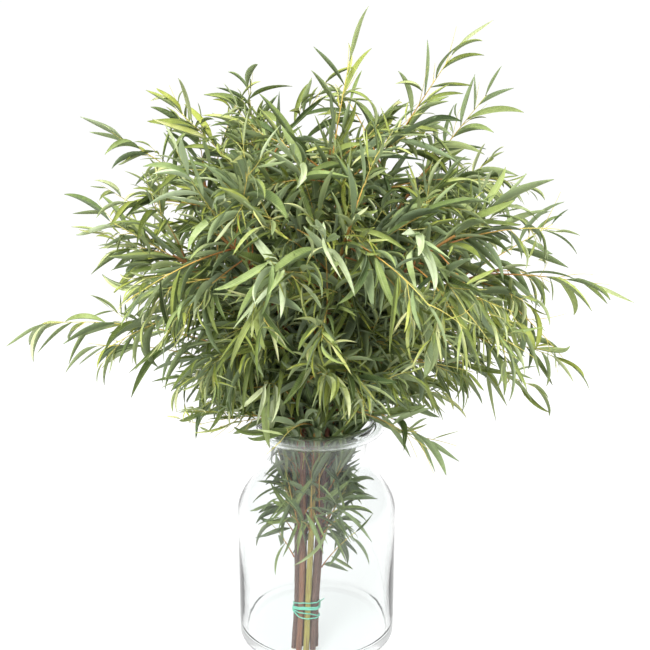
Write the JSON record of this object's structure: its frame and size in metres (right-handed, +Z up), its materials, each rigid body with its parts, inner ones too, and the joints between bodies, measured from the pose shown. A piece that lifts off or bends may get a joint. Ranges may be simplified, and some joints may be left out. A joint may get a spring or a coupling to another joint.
{
  "type": "eucalyptus bunch in a glass vase",
  "caption": "Tied bunch of narrow-leaved eucalyptus branches standing in a clear glass vase with a rolled lip.",
  "frame": {"origin": "the middle of the vase's flat underside", "axes": "+Z up along the vase's axis, -Y the front, where the stems stand, +X to the right seen from the front"},
  "size_m": [0.7105, 0.5359, 0.7203],
  "materials": {
    "clear_glass": "clear, polished, faintly grey-green at the edges",
    "mint_elastic": "mint-green elastic string, satin",
    "stem_bark": "smooth young bark, mauve-brown at the foot and copper-red to yellow-green above",
    "leaf_green": "leathery leaf, satin, blue-green to yellow-green with a paler midrib"
  },
  "bodies": {
    "root": {"glass_vase": "clear_glass", "reaching_spray_01": "leaf_green", "reaching_spray_02": "leaf_green", "reaching_spray_03": "leaf_green", "reaching_spray_04": "leaf_green", "reaching_spray_05": "leaf_green", "reaching_spray_06": "leaf_green", "reaching_spray_07": "leaf_green", "reaching_spray_08": "leaf_green", "reaching_spray_09": "leaf_green", "reaching_spray_10": "leaf_green", "reaching_spray_11": "leaf_green", "reaching_spray_12": "leaf_green", "reaching_spray_13": "leaf_green", "reaching_spray_14": "leaf_green", "reaching_spray_15": "leaf_green", "reaching_spray_16": "leaf_green", "reaching_spray_17": "leaf_green", "reaching_spray_18": "leaf_green", "reaching_spray_19": "leaf_green", "spray_01_6": "leaf_green", "spray_01_9": "leaf_green", "spray_02_6": "leaf_green", "spray_02_9": "leaf_green", "spray_03_6": "leaf_green", "spray_03_9": "leaf_green", "spray_04_6": "leaf_green", "spray_04_9": "leaf_green", "spray_05_6": "leaf_green", "spray_05_9": "leaf_green", "spray_06_6": "leaf_green", "spray_06_8": "leaf_green", "spray_07_5": "leaf_green", "spray_07_9": "leaf_green", "spray_08_6": "leaf_green", "spray_08_9": "leaf_green", "spray_09_6": "leaf_green", "spray_09_8": "leaf_green", "spray_10_6": "leaf_green", "spray_10_9": "leaf_green", "spray_11_6": "leaf_green", "spray_11_9": "leaf_green", "spray_12_6": "leaf_green", "spray_12_9": "leaf_green", "stem_01": "stem_bark", "stem_02": "stem_bark", "stem_03": "stem_bark", "stem_04": "stem_bark", "stem_05": "stem_bark", "stem_06": "stem_bark", "stem_07": "stem_bark", "stem_08": "stem_bark", "stem_09": "stem_bark", "stem_10": "stem_bark", "stem_11": "stem_bark", "stem_12": "stem_bark", "tie": "mint_elastic"}
  },
  "joints": []
}
